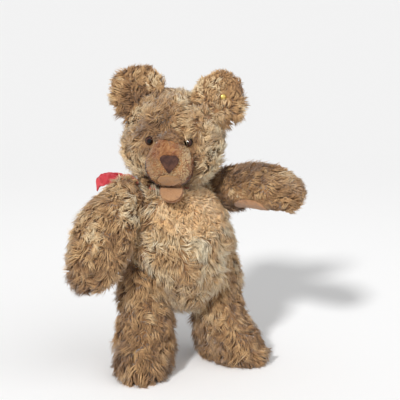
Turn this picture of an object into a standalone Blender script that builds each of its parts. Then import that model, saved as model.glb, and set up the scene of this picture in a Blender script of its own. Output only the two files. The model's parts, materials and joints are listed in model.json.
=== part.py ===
# Jointed mohair teddy bear, standing, with an open felt-lined mouth and a ribbon at its neck.
# The bear faces -Y and +X is its own left. Its pieces are made round the body's own
# upright axis, and at the end the whole bear is set down with its box centred on the origin.
import math

import bmesh
import bpy
from mathutils import Matrix, Vector

# Neck joint, on top of the torso, which the torso's top, the shoulders and the ribbon follow
NECK_HEIGHT = 0.2225
NECK_BACK = 0.004
HEAD_TURN_DEG = -30.0
HEAD_TILT_DEG = 1.5
NECK_DISC_RADIUS = 0.019

# Torso: an upright barrel with a narrow lower end
TORSO_LOW = 0.072
TORSO_ABOVE_NECK = 0.0085
TORSO_HALF_WIDTHS = (0.040, 0.053, 0.060, 0.056, 0.048)
TORSO_HALF_DEPTHS = (0.033, 0.045, 0.050, 0.045, 0.040)
TORSO_FRONT_SHIFTS = (-0.006, -0.007, -0.007, 0.000, 0.006)
TORSO_BLUNTNESS = 2.4
TORSO_LEAN = -0.080
TORSO_LEAN_FROM = 0.110

# Head, measured up from the neck seat
HEAD_BELOW_SEAT = 0.008
HEAD_HEIGHT = 0.100
HEAD_HALF_WIDTHS = (0.040, 0.051, 0.054, 0.052, 0.045)
HEAD_HALF_DEPTHS = (0.038, 0.047, 0.050, 0.048, 0.042)
HEAD_FRONT_SHIFTS = (0.001, -0.002, -0.003, -0.002, 0.000)
HEAD_BLUNTNESS = 2.5

# Muzzle: an egg-shaped snout with a wedge cut out of it for the mouth
MUZZLE_HEIGHT = 0.0335
MUZZLE_ROOT = -0.030
MUZZLE_REACH = 0.052
MUZZLE_TURN_DEG = 5.0
MUZZLE_HALF_WIDTHS = (0.0255, 0.0255, 0.0250, 0.0215)
MUZZLE_HALF_HEIGHTS = (0.0350, 0.0340, 0.0305, 0.0245)
MUZZLE_DROPS = (0.002, 0.001, 0.000, 0.000)
MUZZLE_TOP_NARROWING = 0.36
MUZZLE_BLUNTNESS = 2.6
MOUTH_CORNER_DEPTH = 0.050
MOUTH_CORNER_HEIGHT = 0.0030
PALATE_SLOPE_DEG = 33.0
PALATE_THICKNESS = 0.0012
JAW_HALF_WIDTH = 0.0135
JAW_LENGTH = 0.027
JAW_HALF_HEIGHT = 0.012
JAW_CENTRE_DEPTH = 0.046
JAW_CENTRE_HEIGHT = -0.0040
JAW_SLOPE_DEG = 30.0
JAW_FROM_NECK = 0.0425
JAW_LINING_THICKNESS = 0.0012

# Nose: an inverted triangle of floss with rounded corners
NOSE_WIDTH = 0.0195
NOSE_DROP = 0.0195
NOSE_HEIGHT = 0.0330
NOSE_THICKNESS = 0.0030
NOSE_CORNER = 0.0042

# Eyes: glass balls on a short wire shank
EYE_RADIUS = 0.0052
EYE_APART = 0.044
EYE_HEIGHT = 0.0525
EYE_SINK = 0.0012
EYE_SHANK_RADIUS = 0.0009
EYE_SHANK_LENGTH = 0.0130

# Ears: cupped rounds sewn on the upper corners of the head
EAR_HALF_WIDTH = 0.0305
EAR_HALF_HEIGHT = 0.0280
EAR_HALF_THICKNESS = 0.0065
EAR_CUP = 0.0090
RIGHT_EAR_OUT = 0.0400
RIGHT_EAR_UP = 0.1000
LEFT_EAR_OUT = 0.0470
LEFT_EAR_UP = 0.0950
EAR_BACK = 0.004
EAR_LEAN_DEG = 32.0
RIGHT_EAR_TURN_DEG = 8.0
LEFT_EAR_TURN_DEG = 24.0
STUD_RADIUS = 0.0037
STUD_RISE = 0.0019
STUD_SHANK_RADIUS = 0.0011
STUD_SHANK_LENGTH = 0.0045
STUD_ASIDE = 0.0040
STUD_UP = 0.0060

# Arms, in the frame of the shoulder: out along the joint's axis, down the hanging arm
SHOULDER_BELOW_NECK = 0.026
SHOULDER_OUT = 0.0425
SHOULDER_BACK = 0.005
SHOULDER_TILT_DEG = 15.0
SHOULDER_YAW_DEG = 10.0
ARM_TOP = 0.0250
ARM_REACH = 0.1060
ARM_HALF_THICKNESSES = (0.0330, 0.0330, 0.0300, 0.0235, 0.0205)
ARM_HALF_BREADTHS = (0.0215, 0.0230, 0.0225, 0.0240, 0.0270)
ARM_OUT_SHIFTS = (0.0470, 0.0430, 0.0355, 0.0245, 0.0190)
ARM_BACK_SHIFTS = (0.0190, 0.0060, -0.0020, -0.0020, 0.0000)
ARM_BLUNTNESS = 2.5
ARM_SEAT_RADIUS = 0.0420
RIGHT_ARM_RAISE_DEG = 36.0
LEFT_ARM_RAISE_DEG = 100.0
SHOULDER_DISC_RADIUS = 0.0145
PAW_PAD_DISTANCE = 0.058
PAW_PAD_HALF_LENGTH = 0.027
PAW_PAD_HALF_WIDTH = 0.017
PAW_PAD_TURN_DEG = 142.0
PAW_PAD_THICKNESS = 0.0012

# Legs, in the frame of the hip, which is only turned about the upright
HIP_HEIGHT = 0.104
HIP_OUT = 0.0275
HIP_BACK = -0.006
HIP_YAW_DEG = 27.0
LEG_TOP = 0.0275
LEG_HALF_THICKNESSES = (0.0270, 0.0285, 0.0270, 0.0250, 0.0255, 0.0262)
LEG_HALF_LENGTHS = (0.0490, 0.0475, 0.0320, 0.0260, 0.0260, 0.0290)
LEG_OUT_SHIFTS = (0.0225, 0.0225, 0.0215, 0.0210, 0.0220, 0.0232)
LEG_FRONT_SHIFTS = (-0.0235, -0.0225, -0.0090, -0.0020, 0.0000, 0.0000)
LEG_BLUNTNESS = 3.0
LEG_BELOW_FLOOR = 0.014
LEG_SEAT_RADIUS = 0.0370
HIP_DISC_RADIUS = 0.0180
SOLE_THICKNESS = 0.0016

# Chest bib: a paler panel over the upper chest
BIB_HEIGHT = 0.049
BIB_HALF_WIDTH = 0.045
BIB_ASIDE = 0.004
BIB_THICKNESS = 0.0012

# Ribbon round the neck, tied in a bow behind the right shoulder
RIBBON_WIDTH = 0.0065
RIBBON_THICKNESS = 0.0009
RIBBON_BELOW_NECK = 0.001
BOW_TURN_DEG = 140.0
BOW_OUT = 0.0040
BOW_DROP = 0.0020
BOW_KNOT = 0.0072
BOW_THICKNESS = 0.0013
BOW_HEIGHT = 0.0155
FRONT_LOOP_LENGTH = 0.065
FRONT_LOOP_TURN_DEG = 22.0
BACK_LOOP_LENGTH = 0.042
BACK_LOOP_TURN_DEG = -46.0
LOOP_RISES = (0.0, 0.0065, 0.0085, 0.0065, 0.0010)
LOOP_BULGE = 0.0065
TAIL_LENGTH = 0.034
TAIL_DROP = 0.026
TAIL_WAVE = 0.003
TAIL_TURN_DEG = -14.0

# Disc joints: hardboard discs inside the cloth, held by a cotter pin over washers
COVER_THICKNESS = 0.0030
BOSS_DEPTH = 0.0120
DISC_THICKNESS = 0.0030
WASHER_RADIUS = 0.0065
WASHER_THICKNESS = 0.0010
WIRE_RADIUS = 0.00075
WIRE_HALF_GAP = 0.00010
PIN_CURL_RADIUS = 0.0026
PIN_EYE_RADIUS = 0.0026
PIN_CURL_TURN_DEG = 250.0

# Room left between pieces
GAP = 0.0004
SEAT_GAP = 0.0004

# Facets
TORSO_SIDES, TORSO_RINGS = 24, 14
HEAD_SIDES, HEAD_RINGS = 24, 14
LIMB_SIDES, LIMB_RINGS = 18, 12
MUZZLE_SIDES, MUZZLE_RINGS = 22, 9
EAR_SIDES, EAR_RINGS = 18, 9
DISC_SIDES = 16
WASHER_SIDES = 10
WIRE_SIDES = 5
SEAT_SIDES = 24
CUTTER_LENGTH = 0.120


def clear_scene():
    for obj in list(bpy.data.objects):
        bpy.data.objects.remove(obj)


def material(name, colour, roughness, metallic=0.0):
    made = bpy.data.materials.new(name)
    made.use_nodes = True
    shader = made.node_tree.nodes["Principled BSDF"]
    shader.inputs["Base Color"].default_value = (*colour, 1.0)
    shader.inputs["Roughness"].default_value = roughness
    shader.inputs["Metallic"].default_value = metallic
    made.diffuse_color = (*colour, 1.0)
    return made


def make_materials():
    return {
        "mohair": material("mohair", (0.36, 0.21, 0.10), 0.95),
        "pale_mohair": material("pale_mohair", (0.58, 0.38, 0.20), 0.95),
        "clipped_mohair": material("clipped_mohair", (0.50, 0.30, 0.13), 0.95),
        "felt": material("felt", (0.42, 0.25, 0.14), 0.95),
        "peach_felt": material("peach_felt", (0.66, 0.38, 0.20), 0.95),
        "floss": material("floss", (0.05, 0.03, 0.028), 0.6),
        "glass": material("glass", (0.03, 0.012, 0.006), 0.08),
        "brass": material("brass", (0.62, 0.47, 0.10), 0.35, 1.0),
        "ribbon": material("ribbon", (0.55, 0.03, 0.05), 0.5),
        "hardboard": material("hardboard", (0.28, 0.18, 0.10), 0.85),
        "steel": material("steel", (0.55, 0.55, 0.55), 0.4, 1.0),
    }


def linked_object(name, data):
    obj = bpy.data.objects.new(name, data)
    bpy.context.scene.collection.objects.link(obj)
    return obj


def mesh_object(name, bm, matrix=None):
    bmesh.ops.recalc_face_normals(bm, faces=bm.faces)
    if matrix is not None:
        bm.transform(matrix)
        if matrix.determinant() < 0:
            bmesh.ops.reverse_faces(bm, faces=bm.faces)
    mesh = bpy.data.meshes.new(name)
    bm.to_mesh(mesh)
    bm.free()
    return linked_object(name, mesh)


def smooth_value(values, share):
    # A Catmull-Rom curve through evenly spaced values
    spans = len(values) - 1
    place = min(max(share, 0.0), 1.0) * spans
    start = min(int(place), spans - 1)
    t = place - start
    before = values[max(start - 1, 0)]
    first, second = values[start], values[start + 1]
    after = values[min(start + 2, spans)]
    return 0.5 * (
        2 * first
        + (second - before) * t
        + (2 * before - 5 * first + 4 * second - after) * t**2
        + (3 * first - before - 3 * second + after) * t**3
    )


class SoftForm:
    # A stuffed form: oval sections stacked along Z, rounded off at both ends

    def __init__(self, low, high, half_x, half_y, shift_x, shift_y, bluntness, narrowing=0.0):
        self.low, self.high = low, high
        self.half_x, self.half_y = half_x, half_y
        self.shift_x, self.shift_y = shift_x, shift_y
        self.bluntness = bluntness
        self.narrowing = narrowing

    def ring(self, turn, sides, grown):
        # One section; turn runs from 0 at the low end to pi at the high end
        power = 2.0 / self.bluntness
        rise = -math.copysign(abs(math.cos(turn)) ** power, math.cos(turn))
        girth = math.sin(turn) ** power
        share = (rise + 1.0) / 2.0
        middle = (self.low + self.high) / 2.0
        reach = (self.high - self.low) / 2.0 + grown
        half_x = (smooth_value(self.half_x, share) + grown) * girth
        half_y = (smooth_value(self.half_y, share) + grown) * girth
        centre_x = smooth_value(self.shift_x, share)
        centre_y = smooth_value(self.shift_y, share)
        points = []
        for side in range(sides):
            angle = 2 * math.pi * side / sides
            across = math.cos(angle) * (1.0 - self.narrowing * math.sin(angle))
            points.append(
                Vector(
                    (
                        centre_x + half_x * across,
                        centre_y + half_y * math.sin(angle),
                        middle + reach * rise,
                    )
                )
            )
        return points

    def mesh(self, sides, rings, grown=0.0):
        bm = bmesh.new()
        loops = []
        for index in range(1, rings):
            turn = math.pi * index / rings
            loops.append([bm.verts.new(p) for p in self.ring(turn, sides, grown)])
        for lower, upper in zip(loops, loops[1:]):
            for side in range(sides):
                after = (side + 1) % sides
                bm.faces.new((lower[side], lower[after], upper[after], upper[side]))
        for loop, end, share in ((loops[0], self.low - grown, 0.0), (loops[-1], self.high + grown, 1.0)):
            pole = bm.verts.new(
                (smooth_value(self.shift_x, share), smooth_value(self.shift_y, share), end)
            )
            for side in range(sides):
                bm.faces.new((loop[side], loop[(side + 1) % sides], pole))
        return bm


def cylinder(radius, start, end, sides, matrix=None, name="cutter"):
    # A round bar along local X from start to end
    bm = bmesh.new()
    bmesh.ops.create_cone(
        bm,
        cap_ends=True,
        segments=sides,
        radius1=radius,
        radius2=radius,
        depth=end - start,
        matrix=Matrix.Translation(((start + end) / 2, 0, 0)) @ Matrix.Rotation(math.pi / 2, 4, "Y"),
    )
    return mesh_object(name, bm, matrix)


def prism(outline, start, end, matrix, name="cutter"):
    # A closed outline in local XY, extruded along Z from start to end
    bm = bmesh.new()
    face = bm.faces.new([bm.verts.new((x, y, start)) for x, y in outline])
    raised = bmesh.ops.extrude_face_region(bm, geom=[face])["geom"]
    bmesh.ops.translate(
        bm, vec=(0, 0, end - start), verts=[v for v in raised if isinstance(v, bmesh.types.BMVert)]
    )
    return mesh_object(name, bm, matrix)


def oval(half_x, half_y, sides=24, centre=(0.0, 0.0)):
    turns = [2 * math.pi * side / sides for side in range(sides)]
    return [(centre[0] + half_x * math.cos(t), centre[1] + half_y * math.sin(t)) for t in turns]


def combine(obj, tool, operation):
    # Applies a Boolean and deletes the tool
    modifier = obj.modifiers.new(operation.lower(), "BOOLEAN")
    modifier.operation = operation
    modifier.solver = "EXACT"
    modifier.object = tool
    bpy.context.view_layer.update()
    evaluated = obj.evaluated_get(bpy.context.evaluated_depsgraph_get())
    result = bpy.data.meshes.new_from_object(evaluated)
    obj.modifiers.clear()
    obj.data = result
    bpy.data.objects.remove(tool)
    return obj


def finish(obj, finish_material, smooth=True):
    obj.data.materials.clear()
    obj.data.materials.append(finish_material)
    if smooth:
        obj.data.shade_smooth()
        obj.data.set_sharp_from_angle(angle=math.radians(50))
    return obj


def patch_on(form, facets, outline_tool, thickness, name):
    # A sheet that lies on a form inside a tool's outline
    sheet = mesh_object(name, form.mesh(*facets, grown=GAP + thickness))
    combine(sheet, outline_tool, "INTERSECT")
    return combine(sheet, mesh_object("inside", form.mesh(*facets, grown=GAP)), "DIFFERENCE")


# The frames that the pieces are made in

def neck_frame():
    return (
        Matrix.Translation((lean_at(NECK_HEIGHT), NECK_BACK, NECK_HEIGHT))
        @ Matrix.Rotation(math.radians(HEAD_TURN_DEG), 4, "Z")
        @ Matrix.Rotation(math.radians(HEAD_TILT_DEG), 4, "Y")
    )


def lean_at(height):
    # The bear stands with its shoulders a little to one side of its hips
    return TORSO_LEAN * (height - TORSO_LEAN_FROM)


def side_frame(side, height):
    # The right side is the mirror image of the left, about the leaning body's middle
    return Matrix.Translation((lean_at(height), 0, 0)) @ Matrix.Scale(side, 4, (1, 0, 0))


def shoulder_axis(side):
    tilt, yaw = math.radians(SHOULDER_TILT_DEG), math.radians(SHOULDER_YAW_DEG)
    return Vector(
        (side * math.cos(tilt) * math.cos(yaw), math.cos(tilt) * math.sin(yaw), math.sin(tilt))
    )


def shoulder_frame(side, raise_deg):
    # Local X is the axis on the bear's left; the right arm is the mirror image
    outward = shoulder_axis(1.0)
    back = Vector((0, 0, 1)).cross(outward).normalized()
    upward = outward.cross(back)
    turned = Matrix((outward, back, upward)).transposed().to_4x4()
    height = NECK_HEIGHT - SHOULDER_BELOW_NECK
    place = Matrix.Translation((SHOULDER_OUT, SHOULDER_BACK, height))
    raised = Matrix.Rotation(-math.radians(raise_deg), 4, "X")
    return side_frame(side, height) @ place @ turned @ raised


def hip_frame(side):
    place = Matrix.Translation((HIP_OUT, HIP_BACK, HIP_HEIGHT))
    return side_frame(side, HIP_HEIGHT) @ place @ Matrix.Rotation(math.radians(HIP_YAW_DEG), 4, "Z")


def neck_joint_frame():
    # Local X up the neck, towards the head
    return neck_frame() @ Matrix.Rotation(-math.pi / 2, 4, "Y")


# Disc joints

def boss(frame, disc_radius, side):
    # The cloth pulled flat over a disc; side is 1 in the limb
    turned = frame if side > 0 else frame @ Matrix.Rotation(math.pi, 4, "Z")
    return cylinder(disc_radius + COVER_THICKNESS, -COVER_THICKNESS, BOSS_DEPTH, SEAT_SIDES, turned, "boss")


def inner_stack():
    # How far the outer face of the washer lies from the seat
    return COVER_THICKNESS + DISC_THICKNESS + WASHER_THICKNESS + 3 * GAP


def pocket(frame, disc_radius, side):
    # The hollow in the stuffing for a disc, a washer and the end of the pin; side is 1 in the limb
    start = COVER_THICKNESS
    disc_end = COVER_THICKNESS + DISC_THICKNESS + 2 * GAP
    room = inner_stack() + 2 * (PIN_CURL_RADIUS + WIRE_RADIUS) + 4 * GAP
    curl_room = 2 * (PIN_CURL_RADIUS + WIRE_RADIUS) + WIRE_RADIUS + WIRE_HALF_GAP + 3 * GAP
    turned = frame if side > 0 else frame @ Matrix.Rotation(math.pi, 4, "Z")
    hollow = cylinder(disc_radius + GAP, start, disc_end, DISC_SIDES, turned, "pocket")
    end_room = cylinder(curl_room, disc_end - GAP, room, DISC_SIDES, turned)
    combine(hollow, end_room, "UNION")
    bore = cylinder(bore_radius(), -SEAT_GAP - GAP, disc_end - GAP, WASHER_SIDES, turned)
    return combine(hollow, bore, "UNION")


def bore_radius():
    return 2 * WIRE_RADIUS + WIRE_HALF_GAP + GAP


def ringed_plate(name, radius, start, thickness, sides, frame, finish_material):
    plate = cylinder(radius, start, start + thickness, sides, frame, name)
    hole = cylinder(bore_radius(), start - GAP, start + thickness + GAP, WASHER_SIDES, frame)
    combine(plate, hole, "DIFFERENCE")
    return finish(plate, finish_material, smooth=False)


def cotter_route():
    # One bent wire: a curl, a leg, the eye, the other leg and its curl, in the XY plane
    leg = WIRE_RADIUS + WIRE_HALF_GAP
    curl_x = -(inner_stack() + PIN_CURL_RADIUS + WIRE_RADIUS + GAP)
    opening = math.asin(leg / PIN_EYE_RADIUS)
    eye_x = inner_stack() + GAP + WIRE_RADIUS + PIN_EYE_RADIUS
    curl_steps, eye_steps = 4, 7
    curl = []
    for step in range(curl_steps + 1):
        turn = math.radians(PIN_CURL_TURN_DEG) * step / curl_steps
        curl.append(
            (
                curl_x - PIN_CURL_RADIUS * math.sin(turn),
                leg + PIN_CURL_RADIUS - PIN_CURL_RADIUS * math.cos(turn),
            )
        )
    eye = []
    for step in range(eye_steps + 1):
        turn = opening + (2 * math.pi - 2 * opening) * step / eye_steps
        eye.append((eye_x - PIN_EYE_RADIUS * math.cos(turn), PIN_EYE_RADIUS * math.sin(turn)))
    mirrored = [(x, -y) for x, y in curl]
    return list(reversed(curl)) + eye + mirrored


def cotter_pin(name, frame, finish_material):
    # The wire swept along its route, capped at both ends
    route = [Vector((x, y, 0)) for x, y in cotter_route()]
    bm = bmesh.new()
    rings = []
    for index, centre in enumerate(route):
        run = (route[min(index + 1, len(route) - 1)] - route[max(index - 1, 0)]).normalized()
        aside = Vector((-run.y, run.x, 0))
        ring = []
        for side in range(WIRE_SIDES):
            turn = 2 * math.pi * (side + 0.5) / WIRE_SIDES
            offset = aside * math.cos(turn) + Vector((0, 0, math.sin(turn)))
            ring.append(bm.verts.new(centre + WIRE_RADIUS * offset))
        rings.append(ring)
    for first, second in zip(rings, rings[1:]):
        for side in range(WIRE_SIDES):
            after = (side + 1) % WIRE_SIDES
            bm.faces.new((first[side], first[after], second[after], second[side]))
    bm.faces.new(rings[0])
    bm.faces.new(rings[-1])
    return finish(mesh_object(name, bm, frame), finish_material)


def joint_set(name, frame, disc_radius, materials):
    # The frame's local X runs from the torso into the limb
    inner = frame @ Matrix.Rotation(math.pi, 4, "Z")
    disc_start = COVER_THICKNESS + GAP
    washer_start = disc_start + DISC_THICKNESS + GAP
    for part, place in (("limb", frame), ("body", inner)):
        ringed_plate(
            f"{name}_{part}_disc", disc_radius, disc_start, DISC_THICKNESS, DISC_SIDES, place,
            materials["hardboard"],
        )
        ringed_plate(
            f"{name}_{part}_washer", WASHER_RADIUS, washer_start, WASHER_THICKNESS, WASHER_SIDES, place,
            materials["steel"],
        )
    cotter_pin(f"{name}_cotter_pin", frame, materials["steel"])


# Torso and what is on it

def torso_form():
    steps = len(TORSO_HALF_WIDTHS) - 1
    top = NECK_HEIGHT + TORSO_ABOVE_NECK
    heights = [TORSO_LOW + (top - TORSO_LOW) * step / steps for step in range(steps + 1)]
    return SoftForm(
        TORSO_LOW, top, TORSO_HALF_WIDTHS, TORSO_HALF_DEPTHS,
        [lean_at(height) for height in heights], TORSO_FRONT_SHIFTS, TORSO_BLUNTNESS,
    )


def make_torso(materials):
    torso = mesh_object("torso", torso_form().mesh(TORSO_SIDES, TORSO_RINGS))
    seats = [(neck_joint_frame(), NECK_DISC_RADIUS, CUTTER_LENGTH / 2)]
    for side in (-1.0, 1.0):
        seats.append((shoulder_frame(side, 0.0), SHOULDER_DISC_RADIUS, ARM_SEAT_RADIUS))
        seats.append((hip_frame(side), HIP_DISC_RADIUS, LEG_SEAT_RADIUS))
    for frame, disc_radius, seat_radius in seats:
        flat = cylinder(seat_radius, -SEAT_GAP / 2, CUTTER_LENGTH, SEAT_SIDES, frame)
        if seat_radius < CUTTER_LENGTH / 2:
            combine(torso, boss(frame, disc_radius, -1), "UNION")
        combine(torso, flat, "DIFFERENCE")
        combine(torso, pocket(frame, disc_radius, -1), "DIFFERENCE")
    return finish(torso, materials["mohair"])


def ribbon_top():
    return NECK_HEIGHT - RIBBON_BELOW_NECK


def make_bib(materials):
    half_height = BIB_HEIGHT / 2
    middle = ribbon_top() - RIBBON_WIDTH - GAP - half_height
    outline = oval(BIB_HALF_WIDTH, half_height, 28, (lean_at(middle) + BIB_ASIDE, middle))
    forward = Matrix.Rotation(math.pi / 2, 4, "X")
    tool = prism(outline, 0.0, CUTTER_LENGTH, forward)
    bib = patch_on(torso_form(), (TORSO_SIDES, TORSO_RINGS), tool, BIB_THICKNESS, "chest_bib")
    for side in (-1.0, 1.0):
        shoulder = shoulder_frame(side, 0.0)
        beside = cylinder(CUTTER_LENGTH, -2 * GAP, CUTTER_LENGTH, DISC_SIDES, shoulder)
        combine(bib, beside, "DIFFERENCE")
        radius = SHOULDER_DISC_RADIUS + COVER_THICKNESS + GAP
        over = cylinder(radius, -CUTTER_LENGTH / 3, CUTTER_LENGTH, SEAT_SIDES, shoulder)
        combine(bib, over, "DIFFERENCE")
    return finish(bib, materials["pale_mohair"])


def ribbon_band():
    low = ribbon_top() - RIBBON_WIDTH
    tool = prism(oval(CUTTER_LENGTH, CUTTER_LENGTH, 12), low, ribbon_top(), Matrix.Identity(4))
    return patch_on(torso_form(), (TORSO_SIDES, TORSO_RINGS), tool, RIBBON_THICKNESS, "band")


def bow_frame():
    # On the neck ribbon: local X outward, local Z up
    height = ribbon_top() - RIBBON_WIDTH / 2 - BOW_DROP
    form = torso_form()
    share = (height - form.low) / (form.high - form.low)
    girth = (1 - abs(2 * share - 1) ** form.bluntness) ** (1 / form.bluntness)
    turn = math.radians(BOW_TURN_DEG)
    outward = Vector((-math.sin(turn), -math.cos(turn), 0))
    surface = Vector(
        (
            outward.x * smooth_value(form.half_x, share) * girth,
            outward.y * smooth_value(form.half_y, share) * girth + smooth_value(form.shift_y, share),
            height,
        )
    )
    across = Vector((0, 0, 1)).cross(outward)
    turned = Matrix((outward, across, (0, 0, 1))).transposed().to_4x4()
    return Matrix.Translation(surface + BOW_OUT * outward) @ turned


def ribbon_strip(sections, turn_deg):
    # Sections give distance out, height, sideways place and half width, along the ribbon
    bm = bmesh.new()
    rings = []
    for index, (out, up, aside, half) in enumerate(sections):
        before, after = sections[max(index - 1, 0)], sections[min(index + 1, len(sections) - 1)]
        run = Vector((after[0] - before[0], after[2] - before[2])).normalized()
        normal = Vector((-run.y, run.x)) * (BOW_THICKNESS / 2)
        ring = []
        for height, sign in ((-half, -1), (half, -1), (half, 1), (-half, 1)):
            ring.append(bm.verts.new((out + sign * normal.x, aside + sign * normal.y, up + height)))
        rings.append(ring)
    for first, second in zip(rings, rings[1:]):
        for corner in range(4):
            after = (corner + 1) % 4
            bm.faces.new((first[corner], first[after], second[after], second[corner]))
    bm.faces.new(rings[0])
    bm.faces.new(rings[-1])
    turn = Matrix.Rotation(math.radians(turn_deg), 4, "Z")
    return mesh_object("strip", bm, bow_frame() @ turn)


def bow_loop(length, turn_deg):
    # Ribbon on its edge: out from the knot, round the tip and back
    steps = 5
    sections = []
    for step in range(-steps, steps + 1):
        share = 1.0 - abs(step) / steps
        out = length * math.sin(math.pi / 2 * share)
        bulge = LOOP_BULGE * math.sin(math.pi * share) + BOW_THICKNESS * (1 - share)
        aside = math.copysign(bulge, -step) if step else 0.0
        half = BOW_HEIGHT * (0.22 + 0.28 * math.sin(math.pi / 2 * share))
        sections.append((out, smooth_value(LOOP_RISES, share), aside, half))
    return ribbon_strip(sections, turn_deg)


def bow_tail():
    steps = 5
    sections = []
    for step in range(steps + 1):
        share = step / steps
        aside = TAIL_WAVE * math.sin(5 * share)
        half = BOW_HEIGHT * (0.2 + 0.2 * share)
        sections.append((TAIL_LENGTH * share, -TAIL_DROP * share**2, aside, half))
    return ribbon_strip(sections, TAIL_TURN_DEG)


def make_ribbon(materials):
    bm = bmesh.new()
    bmesh.ops.create_icosphere(bm, subdivisions=2, radius=BOW_KNOT)
    bmesh.ops.scale(bm, vec=(0.72, 1.0, 0.80), verts=bm.verts)
    bow = mesh_object("neck_ribbon", bm, bow_frame())
    for piece in (
        bow_loop(FRONT_LOOP_LENGTH, FRONT_LOOP_TURN_DEG),
        bow_loop(BACK_LOOP_LENGTH, BACK_LOOP_TURN_DEG),
        bow_tail(),
    ):
        combine(bow, piece, "UNION")
    inside = torso_form().mesh(TORSO_SIDES, TORSO_RINGS, GAP + RIBBON_THICKNESS / 2)
    combine(bow, mesh_object("inside", inside), "DIFFERENCE")
    ribbon = combine(bow, ribbon_band(), "UNION")
    return finish(ribbon, materials["ribbon"])


# Head and face

def head_form():
    return SoftForm(
        -HEAD_BELOW_SEAT, HEAD_HEIGHT, HEAD_HALF_WIDTHS, HEAD_HALF_DEPTHS,
        (0.0,) * len(HEAD_HALF_WIDTHS), HEAD_FRONT_SHIFTS, HEAD_BLUNTNESS,
    )


def head_mesh(grown):
    return head_form().mesh(HEAD_SIDES, HEAD_RINGS, grown)


def face_point(across, height):
    # The point on the head's front at this place
    form = head_form()
    share = (height - form.low) / (form.high - form.low)
    girth = (1 - abs(2 * share - 1) ** form.bluntness) ** (1 / form.bluntness)
    half_x = smooth_value(form.half_x, share) * girth
    half_y = smooth_value(form.half_y, share) * girth
    inward = math.sqrt(max(1 - (across / half_x) ** 2, 0.0))
    return Vector((across, smooth_value(form.shift_y, share) - half_y * inward, height))


def eye_places():
    places = []
    for side in (-1.0, 1.0):
        surface = face_point(side * EYE_APART / 2, EYE_HEIGHT)
        inward = Vector((-surface.x * 0.5, -surface.y, 0)).normalized()
        places.append((side, surface + inward * EYE_SINK, inward))
    return places


def eye_shape(name, centre, inward, grown):
    turned = inward.to_track_quat("X", "Z").to_matrix().to_4x4()
    place = neck_frame() @ Matrix.Translation(centre) @ turned
    bm = bmesh.new()
    bmesh.ops.create_uvsphere(bm, u_segments=16, v_segments=10, radius=EYE_RADIUS + grown)
    ball = mesh_object(name, bm, place @ Matrix.Rotation(math.pi / 2, 4, "Y"))
    rolled = place @ Matrix.Rotation(math.pi / 20, 4, "X")
    shank = cylinder(EYE_SHANK_RADIUS + grown, 0.0, EYE_SHANK_LENGTH + grown, 8, rolled)
    return combine(ball, shank, "UNION")


def muzzle_form():
    return SoftForm(
        MUZZLE_ROOT + 2 * GAP, MUZZLE_REACH, MUZZLE_HALF_WIDTHS, MUZZLE_HALF_HEIGHTS,
        (0.0,) * len(MUZZLE_HALF_WIDTHS), tuple(-d for d in MUZZLE_DROPS), MUZZLE_BLUNTNESS,
        MUZZLE_TOP_NARROWING,
    )


def muzzle_frame():
    # Local Z forward out of the face, local Y up
    place = Matrix.Translation((0, MUZZLE_ROOT, MUZZLE_HEIGHT))
    turn = Matrix.Rotation(math.radians(MUZZLE_TURN_DEG), 4, "Z")
    forward = Matrix.Rotation(math.pi / 2, 4, "X")
    return neck_frame() @ place @ turn @ forward


def muzzle_mesh(grown=0.0, name="muzzle"):
    return mesh_object(name, muzzle_form().mesh(MUZZLE_SIDES, MUZZLE_RINGS, grown), muzzle_frame())


def mouth_frame(slope_deg):
    # At the corner of the mouth: local X forward along the slope, local Z out of it
    corner = Matrix.Translation((0, -MOUTH_CORNER_DEPTH, MOUTH_CORNER_HEIGHT))
    forward = Matrix.Rotation(math.radians(MUZZLE_TURN_DEG) - math.pi / 2, 4, "Z")
    return neck_frame() @ corner @ forward @ Matrix.Rotation(-math.radians(slope_deg), 4, "Y")


def slab(frame, back, front, low, high):
    half_width = CUTTER_LENGTH / 2
    outline = [(back, -half_width), (front, -half_width), (front, half_width), (back, half_width)]
    return prism(outline, low, high, frame)


def make_muzzle(materials):
    muzzle = muzzle_mesh()
    combine(muzzle, mesh_object("inside", head_mesh(GAP), neck_frame()), "DIFFERENCE")
    opening = slab(mouth_frame(PALATE_SLOPE_DEG), 0.0, CUTTER_LENGTH, -CUTTER_LENGTH, 0.0)
    combine(muzzle, opening, "DIFFERENCE")
    for _, centre, inward in eye_places():
        combine(muzzle, eye_shape("socket", centre, inward, GAP), "DIFFERENCE")
    return finish(muzzle, materials["clipped_mohair"])


def make_palate(materials):
    palate = muzzle_mesh(name="mouth_palate")
    sheet = slab(
        mouth_frame(PALATE_SLOPE_DEG), 2 * PALATE_THICKNESS, CUTTER_LENGTH,
        -GAP - PALATE_THICKNESS, -GAP,
    )
    combine(palate, sheet, "INTERSECT")
    return finish(palate, materials["peach_felt"])


def jaw_shape(name):
    bm = bmesh.new()
    bmesh.ops.create_uvsphere(bm, u_segments=20, v_segments=12, radius=1.0)
    bmesh.ops.scale(bm, vec=(JAW_HALF_WIDTH, JAW_LENGTH, JAW_HALF_HEIGHT), verts=bm.verts)
    turn = Matrix.Rotation(math.radians(MUZZLE_TURN_DEG), 4, "Z")
    place = Matrix.Translation((0, -JAW_CENTRE_DEPTH, JAW_CENTRE_HEIGHT))
    jaw = mesh_object(name, bm, neck_frame() @ turn @ place)
    combine(jaw, mesh_object("inside", head_mesh(GAP), neck_frame()), "DIFFERENCE")
    below = cylinder(JAW_FROM_NECK, -CUTTER_LENGTH, 0.0, 2 * DISC_SIDES, neck_joint_frame())
    combine(jaw, below, "DIFFERENCE")
    return combine(jaw, muzzle_mesh(GAP, "inside"), "DIFFERENCE")


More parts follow.
